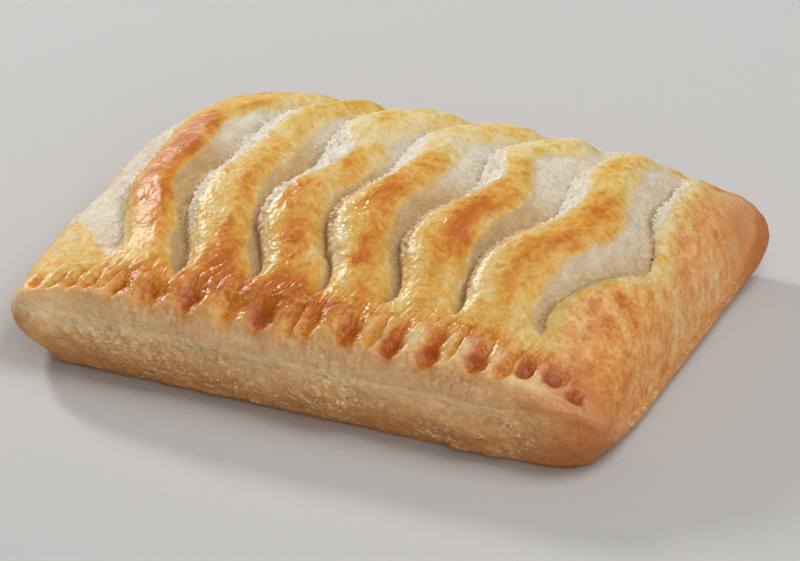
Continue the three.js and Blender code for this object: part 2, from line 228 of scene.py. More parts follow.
def lid(s, t):
    """points of the lid, and its masks"""
    x, y, S, T = footprint(s, t)
    dF, dB, dR, dL = B * (1 + T), B * (1 - T), A * (1 - S), A * (1 + S)
    edge = edge_height(S, T)
    back = RISE_B[0] + RISE_BL * ((1 - S) / 2) ** 2 + RISE_BR * ((1 + S) / 2) ** 2
    puff = rise(dF, *RISE_F) * rise(dB, back, RISE_B[1]) * rise(dR, *RISE_R) * rise(dL, *RISE_L)
    z = edge + (CROWN + TILT * S + SAG * S * S - edge) * puff

    z = z + 0.9 * noise(x * 0.065, T, 51.0) * (sm(9, 0, dF) + sm(9, 0, dB))
    y = y + 0.7 * noise(x * 0.10, T, 57.0) * (sm(7, 0, dF) + sm(7, 0, dB))

    # ---- slashes
    q = sm(-25, 30, y)
    rag = lambda k: 0.50 * noise(y * 0.16, k * 7.1, 0.5) + 0.34 * noise(y * 0.55, k * 3.3, 4.5) + 0.12 * noise(y * 1.5, k * 5.7, 8.5)
    feet = [foot(k, y) + rag(k) for k in range(7)]
    depth, pale, floor, step, crease_shade, crest, ridge, dome, skin, bead, lift, slope, frost = (np.zeros_like(x) for _ in range(13))
    tip = np.full_like(x, TIP[0])
    first = lerp(14.0, 24.0, sm(-30, -8, y))
    wob = 0.9 * noise(x * 0.25, y * 0.22, 2.0) + 0.5 * noise(x * 0.8, y * 0.6, 6.0)
    for k in range(8):
        lo = (x >= feet[k - 1]) if k else np.ones_like(x, bool)
        hi = (x < feet[k]) if k < 7 else np.ones_like(x, bool)
        here = lo & hi
        f0 = feet[k - 1] if k else feet[0] - first
        f1 = feet[k] if k < 7 else f0 + 26.0
        d0, d1 = x - f0, f1 - x
        u = np.clip(d0 / (f1 - f0), 0, 1)
        if k:
            vt = 0.25 + 0.75 * sm(-1.0, 7.0, dF - TIP[k - 1])
            cr = along(PALE_RIGHT[k - 1], y) * vt
            cw = np.clip(cr + 1.0, lerp(4.4, 3.6, q) * (0.5 + 0.5 * vt), 8.5)
            v = np.clip(d0 / cw, 0, 1)
            sharp = lerp(0.36, 0.16, q) * (0.4 if k == 7 else 1.0)
            if k == 7:
                v, sharp = np.clip(d0 / (cw * 1.5), 0, 1), 0.02
            up = sharp * sm(0, 0.13, v) + (1 - sharp) * (1 - (1 - v) ** lerp(2.2, 1.45, q))
            soft = 2.4 if k == 7 else 1.0
            pc = 1 - sm(-1.1 * soft, lerp(0.4, 1.1, q) * soft, d0 - cr + wob * np.minimum(1, cr / 3))
            st = 1 - sm(0.45, 1.0, v)
        else:
            up, pc, st = 1.0, 0.0, 0.0
        if 0 < k < 7:
            vt = 0.2 + 0.8 * sm(-1.0, 7.0, dF - TIP[k])
            w = along(PALE_LEFT[k], y) * vt
            vf = np.clip(d1 / ((w + 3.4) * (0.3 + 0.7 * vt)), 0, 1)
            fall = 0.94 * sm(0.16, 1.0, vf) + 0.06 * vf
            pf = 1 - sm(-1.5, lerp(0.8, 1.4, q), d1 - w + 0.5 * wob)
            fl = 1 - sm(0.25, 0.6, vf)
        elif k == 0:
            fall = 1 - 0.60 * sm(0.35, 0.90, u) - 0.40 * sm(0.55, 1, u)
            border = -69.0 + 0.8 * np.maximum(0, -18 - y) - 40 * sm(-19, -14, y)
            pf = sm(-2.0, 2.0, x - border + 2.2 * wob) * sm(-38, -33, y + 0.5 * wob)
            fl = 0.0
        else:
            fall, pf, fl = 1.0, 0.0, 0.0
        depth = np.where(here, 1 - up * fall, depth)
        pale = np.where(here, np.maximum(pf, pc), pale)
        floor = np.where(here, fl, floor)
        if k == 0:
            fr = 0.78
        else:
            fr = pc * sm(FROST_FROM[k] - 7, FROST_FROM[k] + 5, y + 2 * wob)
            if k < 7:
                fr = np.maximum(fr, pf * (lerp(0.42, 0.80, sm(-4, 16, y)) * sm(0.0, lerp(6.0, 3.0, sm(-6, 10, y)), d1) if k == 6 else sm(-8, 10, y - CHALK_FROM[k] + 2 * wob)))
        frost = np.where(here, fr, frost)
        step = np.where(here, st, step)
        crest = np.where(here, np.exp(-((u - 0.5) / 0.24) ** 2) if 0 < k < 7 else 0.0, crest)
        # painted shade in the crevices: a dark line along each slash foot and over the slash tips, weaker towards the
        # back
        line = lerp(1.0, 0.30, sm(0, 20, y))
        dark = np.zeros_like(x)
        if 0 < k < 7:
            dark = 0.6 * np.exp(-(d0 / 0.30) ** 2)
        if k < 7:
            dark = np.maximum(dark, np.exp(-(d1 / lerp(0.95, 0.7, q)) ** 2) + 0.26 * np.exp(-(d1 / 2.6) ** 2))
            dark = dark + (0.85 + 0.8 * noise(x * 0.5, y * 0.5, 61.0)) * sm(15.0, 4.0, dF - TIP[k]) * sm(1.1, 0.3, d1 / (along(PALE_LEFT[k], y) * vt + 0.9)) if k else dark
        crease_shade = np.where(here, np.minimum(1, dark) * line * (0.3 if k in (0, 7) else 0.12 if k == 6 else 0.5 if k == 2 else 0.75), crease_shade)
        if k:
            row = 0.5 + 0.5 * np.sin(2 * PI * (y / 1.75 + 0.5 * noise(y * 0.3, k * 3.1, 1.0)))
            bd = np.exp(-((d0 - 0.75) / 0.42) ** 2) * (0.15 + 0.85 * row) * (1 - 0.8 * sm(-2, 18, y))
            bead = np.where(here, bd * (0.0 if k == 7 else 1.0), bead)
            lift = np.where(here, np.exp(-(d0 / (4.4 if k > 2 else 2.8)) ** 2) * (0.75 + 0.5 * noise(x * 0.3, y * 0.25, 17.0)) * (1 + (0.4 if k > 1 else -0.5) * sm(0, 20, y)) * lerp(1, 0.0, sm(9, 2, dF - TIP[k - 1])), lift)
        if 0 < k < 7:
            skin = np.where(here, (1 - 0.88 * sm(0.44, 0.68, u)) * lerp(1, 0.55, sm(-5, 28, y)), skin)
            slope = np.where(here, sm(0.50, 0.95, u), slope)
        else:
            skin = np.where(here, 0.16 if k == 0 else 0.40, skin)
        dome = np.where(here, 1.3 * (np.sin(PI * u ** 0.92) - 0.60) if 0 < k < 7 else 0.0, dome)
        ridge = np.where(here, k, ridge)
        near = np.exp(-((x - feet[k]) / 8.0) ** 2) if k < 7 else 0.0
        tip = tip + (TIP[k] - tip) * near if k < 7 else tip
    last = sm(-3, 1, x - feet[6])
    depth = depth * lerp(1, 0.62, last)
    depth = depth * (1 - 0.13 * np.exp(-((x - feet[6]) / 1.5) ** 2))
    opened = sm(tip - 0.6, tip + 6.0, dF) * sm(4.5, 11, dB)
    z = z - lerp(3.8, 5.0, q) * depth * opened + dome * opened * puff
    fade = sm(tip - 0.2, tip + 1.8, dF + 0.6 * wob) * sm(4.0, 8.0, dB)
    fade0 = np.where(ridge == 0, sm(1.0, 3.0, dB), fade)
    pale, crease_shade, step, floor = pale * fade0, crease_shade * fade * sm(0, 0.35, depth * opened), step * fade, floor * fade

    wet = np.full_like(x, 0.24)
    for wx_, wy_, rx, ry, w_ in WET:
        wet = wet + w_ * np.exp(-((x - wx_) / rx) ** 2 - ((y - wy_) / ry) ** 2)
    skin = skin * np.where((ridge > 0) & (ridge < 7), np.minimum(1, wet), 1.0)
    skin = lerp(lerp(0.12 + 0.24 * sm(11, 8, dF), 0.44, sm(-56, -36, x)) * sm(1.5, 4.5, dF), skin, sm(tip - 1, tip + 5, dF))
    skin = skin * (1 - 0.45 * sm(-68, -61, x) * sm(-32, -40, x) * sm(7, 10, dF) * sm(26, 18, dF))
    bead = bead * sm(tip - 0.5, tip + 2.5, dF) * sm(4.0, 8.0, dB)
    lift = lift * sm(tip - 3, tip + 2, dF)
    z = z - 1.3 * sm(13, 5, dB)

    # ---- crimps
    crimp, dent, rib, toast = np.zeros_like(x), np.zeros_like(x), np.zeros_like(x), np.zeros_like(x)
    for side, (edge_d, rows) in enumerate(((dF, CRIMPS), (dB, BACK_CRIMPS))):
        band = np.exp(-((edge_d - 5.8) / 5.4) ** 4)
        push = np.zeros_like(x)
        long_ = np.zeros_like(x)
        for cx, inset, rx, ry, d, br, lean in rows:
            jag = 0.45 * noise(x * 0.5, y * 0.5, cx)
            ax = (x - cx - lean * (edge_d - inset) + jag) / rx
            ay = (edge_d - inset + 0.6 * jag) / ry
            h = np.exp(-(ax * ax) ** 1.0 - (ay * ay) ** 1.05)
            push = np.maximum(push, h)
            toast = np.maximum(toast, br * 0.90 * np.exp(-(ax * ax * 0.78) ** 1.15 - (((ay + 0.02) ** 2) * 0.60) ** 1.2))
            tail = np.exp(-(ax * ax) * 1.8 - ((edge_d - inset - 3.0) / 3.6) ** 4)
            long_ = np.maximum(long_, tail)
            z = z - d * 0.64 * h - 0.26 * d * tail * (1 if side == 0 else 0.3)
        dent = np.maximum(dent, push)
        rib = np.maximum(rib, band * (1 - sm(0.05, 0.6, np.maximum(push, long_))))
        crimp = np.maximum(crimp, band)
    z = z + lerp(0.85, 0.1, sm(-10, 10, y)) * rib * (1 - sm(0.90, 1.0, np.abs(S)))
    # gathered folds between the crimps and the slashes
    gather = np.exp(-((dF - 10.5) / 4.0) ** 2) * (1 - sm(0.86, 0.97, np.abs(S)))
    fold = np.abs(noise((x - 0.35 * (y + 40)) * 0.34, y * 0.10, 21.0))
    fold = 1 - sm(0.0, 0.22, fold)
    z = z + gather * (0.9 * (0.30 - fold) * 0.6)
    # folded lip line over part of the front band
    lipy = -B + 8.6 + 0.06 * (x + 10) + 0.5 * np.sin(x * 0.45)
    lip = np.exp(-((y - lipy) / 0.55) ** 2) * sm(-23, -20, x) * (1 - sm(-2, 2, x))
    z = z + 0.5 * lip + 0.5 * sm(-0.8, 0.4, y - lipy) * sm(-23, -20, x) * (1 - sm(-2, 2, x)) * (1 - sm(0.5, 4, y - lipy))

    # ---- uneven puffing
    z = z + 0.60 * fbm(x * 0.055, y * 0.075, 1.0, 2) * puff
    z = z + 0.34 * noise(x * 0.17, y * 0.13, 5.0) * sm(0.05, 0.3, puff)

    # ---- rounded shoulder
    tl, tr = lerp(SHOULDER["left"], 5.5, sm(-0.62, -0.95, T)), lerp(SHOULDER["right"], 3.6, np.maximum(sm(0.70, 0.95, T), sm(-0.76, -0.96, T)))
    gx = np.maximum(np.clip(1 - dL / tl, 0, 1), np.clip(1 - dR / tr, 0, 1))
    gy = np.maximum(np.clip(1 - dF / SHOULDER["front"], 0, 1), np.clip(1 - dB / SHOULDER["back"], 0, 1))
    rx_, ry_ = np.where(S < 0, tl, tr), np.where(T < 0, SHOULDER["front"], SHOULDER["back"])
    g2 = gx * gx + gy * gy
    rr = (gx * gx * rx_ + gy * gy * ry_) / np.maximum(g2, 1e-9)
    z = z - rr * 0.9 * (1 - np.sqrt(np.maximum(0, 1 - np.minimum(1, g2))))
    z = np.maximum(z, 2.4)

    brown = np.zeros_like(x)
    jx, jy = 1.6 * noise(x * 0.2, y * 0.2, 11.0), 1.6 * noise(x * 0.2, y * 0.2, 14.0)
    for bx, by, rx, ry, k in BLOTCHES:
        brown = brown + k * np.exp(-((x + jx - bx) / rx) ** 2 - ((y + jy - by) / ry) ** 2)
    masks = dict(pale=pale, crest=crest, step=step, crease_shade=crease_shade, dent=dent, rib=rib, crimp=crimp, ridge=ridge, floor=floor,
                 depth=depth * opened, skin=skin, bead=bead, lift=lift, slope=slope, frost=frost, dF=dF, dB=dB, dR=dR, dL=dL, S=S, T=T, puff=puff, blotch=brown, lip=lip, toast=toast, gather=gather * fold)
    return x, y, z, masks


def crumb(x, y, z):
    """flaky side relief at points in space: height, flake, crack, and the torn sheet edges, pale along each ledge with
    painted shadow just below it
    """
    warp = 1.6 * noise(x * 0.05, y * 0.05, 3.3) + 0.9 * noise(x * 0.17, y * 0.17, 6.1)
    lay = (z + warp) / 1.7
    saw = np.abs((lay % 1.0) - 0.5) * 2
    patchy = sm(-0.15, 0.35, noise(x * 0.09, y * 0.09, z * 0.22 + 2))
    flake = np.abs(fbm(x * 0.40, y * 0.40, z * 0.55 + 0.3 * warp, 3, 0.65))
    tiny = np.abs(fbm(x * 1.0, y * 1.0, z * 1.3, 2, 0.6))
    crack = 1 - sm(0.0, 0.05, np.abs(noise(x * 0.16 + 0.3 * flake, y * 0.16, z * 0.55)))
    crack = crack * sm(0.05, 0.30, noise(x * 0.11, y * 0.11, 31.0)) * sm(16, 11, z)
    sheet = fbm(x * 0.060 + 3.0, y * 0.060, z * 0.15, 4, 0.60) + 0.035 * (z - 9)
    steps = (-0.30, -0.08, 0.14, 0.34)
    plate = sum(sm(-0.016, 0.016, sheet - c) for c in steps)
    # pale line along each ledge, and painted shadow just below it
    rim = sum(np.exp(-((sheet - c - 0.018) / 0.020) ** 2) - 0.9 * np.exp(-((sheet - c + 0.026) / 0.020) ** 2) for c in steps)
    rough = np.clip(0.75 + 0.7 * noise(x * 0.06, y * 0.06, z * 0.12 + 7), 0.2, 1.3)
    h = rough * (0.42 * (plate - 2.0) + 0.12 * (sm(0.1, 0.9, saw) - 0.5) * patchy + 0.44 * (flake - 0.22) + 0.15 * (tiny - 0.25) - 0.45 * crack)
    return h, flake, crack, rim * np.minimum(1, rough)


def even_ends(x, y):
    corner = sm(-36, -46, y) * sm(54, 67, x)
    lobe = sm(-34, -48, y) * sm(-48, -66, x) + sm(34, 46, y) * sm(56, 68, x)
    return corner, lobe


def columns(t, ends, per_ridge):
    """s of every column in every row; columns follow the slash feet"""
    y = B * t
    knots = [np.full_like(t, -1.0)] + [foot(k, y) / A for k in range(7)] + [np.full_like(t, 1.0)]
    out = []
    for k in range(8):
        n = ends[0] if k == 0 else ends[1] if k == 7 else per_ridge
        u = np.arange(n) / n
        v = u if k == 0 else lerp(u, u * u, 0.22)
        out.append(knots[k][None, :] + (knots[k + 1] - knots[k])[None, :] * v[:, None])
    out.append(knots[8][None, :])
    return np.concatenate(out, 0)


# ------------------------------------------------------------------ mesh
def build_arrays(ends=(30, 44), per_ridge=56, rows=300, wall_rows=46, base_rings=8):
    tt = np.linspace(0, 1, rows + 1)
    tt = 2 * tt - 1 - 0.07 * np.sin(2 * PI * tt)
    tt[0], tt[-1] = -1, 1
    s = columns(tt, ends, per_ridge)                    # (N+1, rows+1)
    t = np.broadcast_to(tt[None, :], s.shape)
    x, y, z, m = lid(s, t)
    n0, n1 = s.shape
    I, J = np.meshgrid(np.arange(n0), np.arange(n1), indexing="ij")
    vid = I * n1 + J

    # fine surface of the lid, along the smooth surface normal
    du = np.gradient(np.stack([x, y, z], -1), axis=0)
    dv = np.gradient(np.stack([x, y, z], -1), axis=1)
    nrm = np.cross(du, dv)
    nrm /= np.maximum(np.linalg.norm(nrm, axis=-1, keepdims=True), 1e-9)
    pale, dent, rib, step, crimp, depth, floor = (m[k] for k in ("pale", "dent", "rib", "step", "crimp", "depth", "floor"))
    inner = sm(0, 2.0, np.minimum(np.minimum(m["dF"], m["dB"]), np.minimum(m["dR"], m["dL"])))
    blister = np.abs(fbm(x * 0.34, y * 0.30, z * 0.34, 2, 0.6))
    bubble = np.abs(fbm(x * 0.85, y * 0.75, z * 0.85, 2, 0.6))
    lumps = fbm(x * 0.20, y * 0.16, z * 0.16 + 7.5, 2, 0.5)
    tiny_ = np.abs(noise(x * 1.35, y * 1.2, z * 1.2 + 5.0))
    fray = np.abs(fbm(x * 0.5 + 0.5 * lumps, y * 0.42, z * 0.8, 3, 0.65))
    torn = np.abs(fbm(x * 0.8, y * 0.75, z * 1.3, 3, 0.75))
    right = sm(1.5, 9, x - foot(6, y)) * (1 - 0.7 * crimp * sm(66, 58, x)) * (1 - 0.95 * sm(0.06, 0.36, m["toast"]) * sm(15, 11, m["dF"]))
    streak = fbm((x * 0.30 + y * 0.22), (y * 0.9 - x * 0.7) * 0.42, 2.5, 3, 0.55)
    glaze = 1 - pale
    skin = m["skin"]
    calm = (0.22 + 0.78 * skin) * (1 - 0.7 * right)
    disp = glaze * (calm * (0.50 * (blister - 0.25) + 0.34 * (bubble - 0.25)) + 0.20 * lumps)
    disp = disp + pale * (0.50 * (fray - 0.25) + 0.22 * (bubble - 0.25)) + 1.15 * (torn - 0.28) * step * pale * sm(-32, -8, y)
    fibre = np.abs(fbm(x * 0.95, y * 1.25, z * 1.6 + 9.0, 2, 0.7))
    disp = disp + 0.85 * pale * floor * (fibre - 0.25) + 0.35 * pale * (torn - 0.28)
    disp = disp + 0.28 * m["bead"] + 0.30 * glaze * skin * (tiny_ - 0.22)
    pleat = np.abs(noise(x * 0.10 + 0.3 * lumps, y * 0.62 + 0.5 * lumps, z * 0.10 + 3.0))
    disp = disp + right * (0.20 * streak + 0.42 * (0.30 - pleat) + 0.30 * (blister - 0.25) + 0.16 * (bubble - 0.25))
    disp = disp * (1 - 0.75 * dent)
    # layered ledges on the torn sides
    ledge = np.sin(2 * PI * (z * 0.8 + 0.5 * fbm(x * 0.2, y * 0.2, 4.0, 2)))
    disp = disp + 0.12 * ledge * step * pale
    pits = np.zeros_like(x)
    for cx, cy, rx, ry, dd in ((65.6, -14.8, 1.5, 1.8, 1.3), (68.5, -15.5, 1.2, 1.5, 0.5), (70.4, 11.6, 0.9, 2.4, 0.9), (70.2, 1.0, 0.8, 2.0, 0.6), (70.6, 32.0, 0.9, 2.2, 0.8),
                               (70.0, 46.0, 1.2, 1.5, 0.5), (65.0, -21.5, 1.5, 1.2, 0.4), (71.8, -4.0, 0.7, 2.0, 0.5), (61.3, -22.8, 1.4, 1.4, 0.3), (69.0, 22.0, 1.0, 1.6, 0.3)):
        one = np.exp(-((x - cx + 0.5 * lumps) / rx) ** 2 - ((y - cy + lumps) / ry) ** 2)
        disp = disp - 0.9 * dd * one
        pits = pits + dd * one
    Q = np.stack([x, y, z], -1) + nrm * (disp * inner)[..., None]
    # the flaky side reaches up over the rim to the crimps
    cor_, lob_ = even_ends(x, y)
    reach = np.maximum(sm(4.6, 1.2, m["dF"] + 1.4 * wob_(x, y, z)), 0.9 * np.maximum(sm(2.6, 0.8, m["dL"]), sm(3.4, 0.8, m["dB"] + 1.2 * wob_(x, y, z))))
    reach = reach * (1 - 0.80 * sm(0.05, 0.85, dent)) * (1 - 0.75 * np.maximum(cor_, lob_)) * np.clip((z - 3.0) / 10.0, 0.12, 1)
    ch, cflake, ccrack, lid_edge_shade = crumb(x, y, z)
    P = (Q + nrm * (reach * ch)[..., None]).reshape(-1, 3)

    # loop around the lid, counter-clockwise seen from above
    loop = np.concatenate([vid[:-1, 0], vid[-1, :-1], vid[:0:-1, -1], vid[0, :0:-1]])
    side_of = np.concatenate([np.zeros(n0 - 1), np.ones(n1 - 1), np.full(n0 - 1, 2), np.full(n1 - 1, 3)]).astype(int)
    rx, ry, rz = Q.reshape(-1, 3)[loop].T
    edge_n = nrm.reshape(-1, 3)[loop]
    start = reach.reshape(-1)[loop]
    ends_w = np.minimum(1.2, np.abs(rx) / A) ** 6 * np.sign(rx)
    side_w = np.minimum(1.2, np.abs(ry) / B) ** 6 * np.sign(ry)
    tuck_x = np.where(rx > 0, TUCK["right"], TUCK["left"] + 2.6 * sm(-32, -48, ry))
    tuck_y = np.where(ry > 0, TUCK["back"], TUCK["front"])
    hor = np.stack([ends_w, side_w], -1)
    hor /= np.maximum(np.linalg.norm(hor, axis=1, keepdims=True), 1e-6)
    thick = np.clip((rz - 3.0) / 10.0, 0.12, 1)
    corner, lobe = even_ends(rx, ry)
    even = np.maximum(corner, lobe)
    walls, wall_a = [], []
    for i in range(1, wall_rows + 1):
        w = i / wall_rows
        belly = BELLY * math.sin(PI * min(1, w * 1.15)) ** 2
        tk = w ** (2.2 - 0.8 * lobe)
        belly = belly + 1.6 * lobe * math.sin(PI * w ** 0.8)
        wx = rx + ends_w * (belly - tuck_x * tk)
        wy = ry + side_w * (belly - tuck_y * tk)
        wz = rz * (1 - w)
        # lid lip, recess along the join, fuller lower sheet
        join = 0.12 + 0.10 * noise(wx * 0.035, wy * 0.035, 0.7) + 0.06 * noise(wx * 0.12, wy * 0.12, 5.2) + 0.02 * noise(wx * 0.5, wy * 0.5, 5.2)
        shown = sm(-0.20, 0.30, noise(wx * 0.045, wy * 0.045, 12.4) + 0.012 * wx) * (1 - even) * sm(-30, -10, wx + 0.0 * wy)
        hollow_ = np.maximum(0, 0.30 + 1.1 * noise(wx * 0.05, wy * 0.05, 44.0))
        prof = -0.40 * shown * np.exp(-((w - join) / 0.045) ** 2) - hollow_ * 0.55 * np.exp(-((w - 0.30) / 0.16) ** 2) * (1 - even) + 0.35 * np.exp(-((w - 0.60) / 0.22) ** 2)
        bulge = 0.8 * fbm(wx * 0.05, wy * 0.05, wz * 0.09, 2)
        ch, flake, crack, edge_shade_ = crumb(wx, wy, wz)
        crack = crack * sm(0.20, 0.40, w)
        seam = np.exp(-((w - join) / 0.020) ** 2) * shown
        amount = lerp(start, (1 - 0.75 * even) * thick, sm(0.0, 0.12, w))
        shape_ = (bulge * sm(0, 0.40, w) + prof * sm(0, 0.10, w)) * thick
        out = (shape_ + amount * ch) * (1 - sm(0.88, 1.0, w)) - 1.5 * thick * sm(0.84, 1.0, w) ** 2
        face = lerp(edge_n, np.concatenate([hor, np.zeros((len(hor), 1))], 1), sm(0.0, 0.16, w))
        face = face / np.linalg.norm(face, axis=1, keepdims=True)
        wx, wy, wz = wx + face[:, 0] * out, wy + face[:, 1] * out, wz + face[:, 2] * out
        if i == wall_rows:
            wz = np.zeros_like(wz)
        walls.append(np.stack([wx, wy, wz], -1))
        wall_a.append(np.stack([np.full(len(loop), w), seam, flake, crack, edge_shade_ * (1 - 0.75 * even)], -1))
    W = np.concatenate(walls, 0)
    n = len(loop)
    base0 = len(P)
    wid = base0 + np.arange(wall_rows)[:, None] * n + np.arange(n)[None, :]
    ringed = np.concatenate([loop[None, :], wid], 0)
    # base: rings to a middle point
    rim = walls[-1]
    mid = np.array([rim[:, 0].mean(), rim[:, 1].mean(), 0.0])
    rings = []
    for i in range(1, base_rings):
        k = 1 - i / base_rings
        pt = mid + (rim - mid) * k
        hollow = 0.5 * (fbm(pt[:, 0] * 0.08, pt[:, 1] * 0.08, 9.0, 2) + 0.5)
        pt[:, 2] = np.clip(hollow, 0, 1.0) * (0.4 if i > 1 else 0)
        rings.append(pt)
    R = np.concatenate(rings + [mid[None, :] + [0, 0, 0.2]], 0)
    rid = base0 + len(W) + np.arange(base_rings - 1)[:, None] * n + np.arange(n)[None, :]
    middle = base0 + len(W) + (base_rings - 1) * n
    allv = np.concatenate([P, W, R], 0)
    ringed = np.concatenate([ringed, rid], 0)

    quads = []
    a, b, c, d = vid[:-1, :-1], vid[1:, :-1], vid[1:, 1:], vid[:-1, 1:]
    quads.append(np.stack([a, b, c, d], -1).reshape(-1, 4))
    up_, dn = ringed[:-1], ringed[1:]
    quads.append(np.stack([up_, dn, np.roll(dn, -1, 1), np.roll(up_, -1, 1)], -1).reshape(-1, 4))
    quads = np.concatenate(quads, 0)
    last = ringed[-1]
    tris = np.stack([np.roll(last, -1), last, np.full(n, middle)], -1)

    # ---------------- attributes
    N = len(allv)
    names = ("pale", "floor", "step", "crease_shade", "dent", "rib", "crimp", "depth", "right", "wall", "seam", "flake", "crack", "base", "browned", "yellow", "smooth_end", "skin", "bead", "slope", "white_band", "tone", "low", "frost", "torn_edge_shade", "matte")
    attr = {k: np.zeros(N, np.float32) for k in names}
    L = n0 * n1
    for k in ("pale", "floor", "step", "crease_shade", "dent", "rib", "crimp", "depth", "skin", "bead", "slope", "frost"):
        attr[k][:L] = m[k].reshape(-1)
    attr["right"][:L] = right.reshape(-1)
    over = 0.50 * sm(0.1, 0.9, reach + 0.25 * (cflake - 0.25))
    attr["wall"][:L] = over.reshape(-1)
    attr["flake"][:L] = cflake.reshape(-1)
    attr["torn_edge_shade"][:L] = (lid_edge_shade * reach).reshape(-1)
    attr["white_band"][:L] = (0.62 * sm(2.3, 0.2, m["dF"] + 1.3 * wob_(x, y, z)) * sm(60, 44, x) * (1 - 0.9 * sm(0.05, 0.5, dent))).reshape(-1)
    attr["low"][:L] = (0.95 * sm(-10, 40, x) * sm(9, 5, m["dF"]) + 0.3 * sm(3, 1, m["dR"])).reshape(-1)
    attr["rib"][:L] = (rib * (0.12 + 0.88 * sm(8, 24, x))).reshape(-1)
    # how brown: 0 pale yellow, 1 dark
    dF, dB = m["dF"], m["dB"]
    front = sm(19, 9, dF)
    b = 0.34 + 0.10 * m["crest"] * (1 - sm(10, 40, y) * 0.5) + m["blotch"]
    b = b + 0.20 * front * sm(-60, -36, x) * (1 - 0.35 * sm(8, 3, dF)) + 0.10 * sm(18, 8, dB)
    b = b + m["toast"] + 0.12 * m["gather"] + lerp(0.04, -0.22, sm(-8, 16, x)) * rib * sm(15, 7, dF)
    b = b - 0.03 * sm(-50, -66, x) + 0.09 * sm(-38, -50, x) * sm(-34, -12, y)
    b = b - 0.10 * sm(2, 18, y) * (m["ridge"] > 2) * (m["ridge"] < 7) + 0.07 * sm(6, -6, y) * right - 0.10 * sm(8, 22, y) * right - 0.06 * (pleat - 0.3) * right
    b = b + 0.12 * sm(15, 3, m["dR"]) * right + 0.10 * sm(-8, -34, y) * right + 0.12 * streak * right
    b = b + 0.10 * (bubble - 0.25) + 0.22 * (blister - 0.25)
    b = b - 0.16 * m["lip"] - 0.22 * m["lift"] - 0.06 * m["slope"] - 0.10 * sm(0.0, 0.5, pale) * (1 - step)
    b = b + 0.30 * np.minimum(1.2, pits)
    attr["browned"][:L] = b.reshape(-1)
    attr["yellow"][:L] = (sm(-6, 26, y) * (1 - right)).reshape(-1)
    near_rim = sm(9.0, 1.0, np.minimum(m["dR"], m["dB"]))
    plain = 1 - 0.9 * sm(0.10, 0.45, m["toast"])
    attr["smooth_end"][:L] = np.maximum(sm(-30, -46, y) * sm(54, 67, x) * plain, sm(28, 46, y) * sm(56, 70, x) * near_rim).reshape(-1)
    attr["tone"][:L] = (np.maximum(sm(5.0, 1.8, dF + 1.1 * wob_(x, y, z)), 0.8 * sm(3.0, 0.6, m["dL"])) * (1 - 0.92 * sm(0.03, 0.75, dent + 0.8 * m["toast"])) + 0.8 * sm(2.5, 0.5, dB)).reshape(-1)
    ww, seam, flake, crack, edge_shade_ = np.concatenate(wall_a, 0).T

    def along(v, half=5):
        """running mean round the rim, so nothing is drawn down the wall in streaks"""
        return sum(np.roll(v, k) for k in range(-half, half + 1)) / (2 * half + 1)

    k0, k1 = L, L + len(W)
    attr["seam"][k0:k1] = seam
    whiten = np.exp(-((ww - 0.06 + 0.12 * noise(W[:, 0] * 0.05, W[:, 1] * 0.05, W[:, 2] * 0.15 + 19.0)) / 0.15) ** 2) * sm(60, 44, np.tile(rx, wall_rows)) * sm(-20, -46, np.tile(ry, wall_rows))
    attr["white_band"][k0:k1] = whiten
    attr["torn_edge_shade"][k0:k1] = edge_shade_
    attr["flake"][k0:k1] = flake
    attr["crack"][k0:k1] = crack
    attr["browned"][k0:k1] = 0.20 + 0.50 * sm(0.80, 1.0, ww) + 0.10 * sm(0.25, 0.05, ww)
    br_ = sm(28, 46, ry) * sm(56, 70, rx)
    attr["smooth_end"][k0:k1] = np.tile(np.maximum(sm(-30, -46, ry) * sm(54, 67, rx), br_), wall_rows)
    gx_, gy_, gz_ = W.T
    wav = 0.12 * noise(gx_ * 0.07, gy_ * 0.07, gz_ * 0.16 + 9.3) + 0.07 * noise(gx_ * 0.28, gy_ * 0.28, gz_ * 0.34 + 2.3)
    attr["low"][k0:k1] = np.maximum(sm(0.20, 0.70, ww + wav), np.maximum(0.92 * sm(64, 71, W[:, 0]), 0.35 * np.tile(along(attr["low"][:L][loop]), wall_rows) * sm(0.11, 0.0, ww + wav)))
    attr["tone"][k0:k1] = 1.0
    attr["skin"][k0:k1] = np.tile(along(m["skin"].reshape(-1)[loop]), wall_rows) * sm(0.22, 0.0, ww)
    attr["matte"][:L] = np.maximum((m["ridge"] == 0) * sm(-46, -58, x) * sm(8, 11, dF), right * 0.5).reshape(-1)
    attr["wall"][k0:k1] = np.maximum(sm(0.0, 0.15, ww + wav - 0.03), np.tile(along(over.reshape(-1)[loop]), wall_rows))
    attr["wall"][k1:] = 1
    attr["base"][k1:] = 1
    attr["base"][k0:k1] = sm(0.94, 1.0, ww)
    attr["browned"][k1:] = 0.62

    # ---------------- uv layout, in mm on a 191 mm square
    uvv = np.zeros((N, 2))
    uq = (x + 76) / 152 * 145
    arc = np.concatenate([[0], np.cumsum(np.sqrt((np.diff(Q[n0 // 2], axis=0) ** 2).sum(1)))])
    vq = np.broadcast_to((arc / arc[-1] * 120)[None, :], x.shape)
    uvv[:L, 0] = np.clip(uq, 0.2, 144.8).reshape(-1)
    uvv[:L, 1] = vq.reshape(-1) + 0.5
    info = dict(L=L, n0=n0, n1=n1, loop=loop, side_of=side_of, wid=wid, rid=rid, middle=middle, wall_rows=wall_rows, base_rings=base_rings)
    return allv, quads, tris, attr, uvv, info


